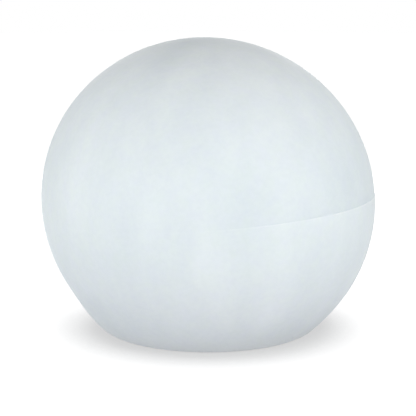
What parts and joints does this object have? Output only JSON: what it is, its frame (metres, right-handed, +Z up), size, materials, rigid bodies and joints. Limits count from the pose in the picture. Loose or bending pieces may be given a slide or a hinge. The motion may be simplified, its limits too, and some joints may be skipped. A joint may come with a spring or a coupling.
{
  "type": "garden globe light",
  "caption": "Cordless garden globe light: one-piece translucent moulded globe with a flat foot and a recessed rechargeable light module under it.",
  "frame": {"origin": "on the ground, in the middle of the globe's flat foot", "axes": "+Z up along the globe's own axis, +X towards the side where the parting line is highest"},
  "size_m": [0.5, 0.5009, 0.445],
  "materials": {
    "globe_polyethylene": "satin, translucent, rotationally moulded",
    "brass_insert": "machined",
    "black_rubber": "matt",
    "grey_silicone": "matt",
    "housing_plastic": "fine moulded texture",
    "cradle_plastic": "moulded",
    "button_plastic": "satin",
    "stainless_steel": "bright",
    "nickel": "rolled",
    "board_green": "solder mask",
    "board_white": "white solder mask",
    "component_black": "moulded epoxy",
    "switch_black": "moulded",
    "clear_polycarbonate": "clear",
    "frosted_polycarbonate": "frosted",
    "cell_sleeve": "shrink sleeve",
    "lead_red": "insulation",
    "grey_foam": "closed-cell foam",
    "bare_aluminium": "blanked sheet",
    "led_package": "phosphor"
  },
  "bodies": {
    "lamp": {"globe_shell": "globe_polyethylene", "insert_nuts": "brass_insert", "module_gasket": "black_rubber", "module_housing": "housing_plastic", "module_screws": "stainless_steel", "control_board": "board_green", "control_parts": "component_black", "board_screws": "stainless_steel", "push_switch": "switch_black", "button_seal": "black_rubber", "charging_port": "nickel", "hinge_pin": "stainless_steel", "indicator_lens": "clear_polycarbonate", "battery_cradle": "cradle_plastic", "cradle_screws": "stainless_steel", "battery_cells": "cell_sleeve", "battery_contacts": "nickel", "battery_leads": "lead_red", "cell_pad": "grey_foam", "heat_spreader": "bare_aluminium", "spreader_screws": "stainless_steel", "led_board": "board_white", "led_board_screws": "stainless_steel", "led_chips": "led_package", "led_leads": "lead_red", "dome_seal": "black_rubber", "diffuser_dome": "frosted_polycarbonate", "dome_ring": "housing_plastic"},
    "button": {"power_button": "button_plastic", "button_clip": "stainless_steel", "switch_plunger": "switch_black"},
    "socket_cover": {"port_cover": "button_plastic", "port_seal": "grey_silicone"}
  },
  "joints": [
    {"name": "button_press", "type": "slide", "parent": "lamp", "child": "button", "axis": [0, 0, 1], "range_m": [0, 0.0015], "stiffness_N_per_m": 700, "springref_m": -0.001},
    {"name": "cover_hinge", "type": "hinge", "parent": "lamp", "child": "socket_cover", "pos_m": [-0.016, 0.01, 0.0088], "axis": [1, 0, 0], "range_deg": [0, 170]}
  ]
}
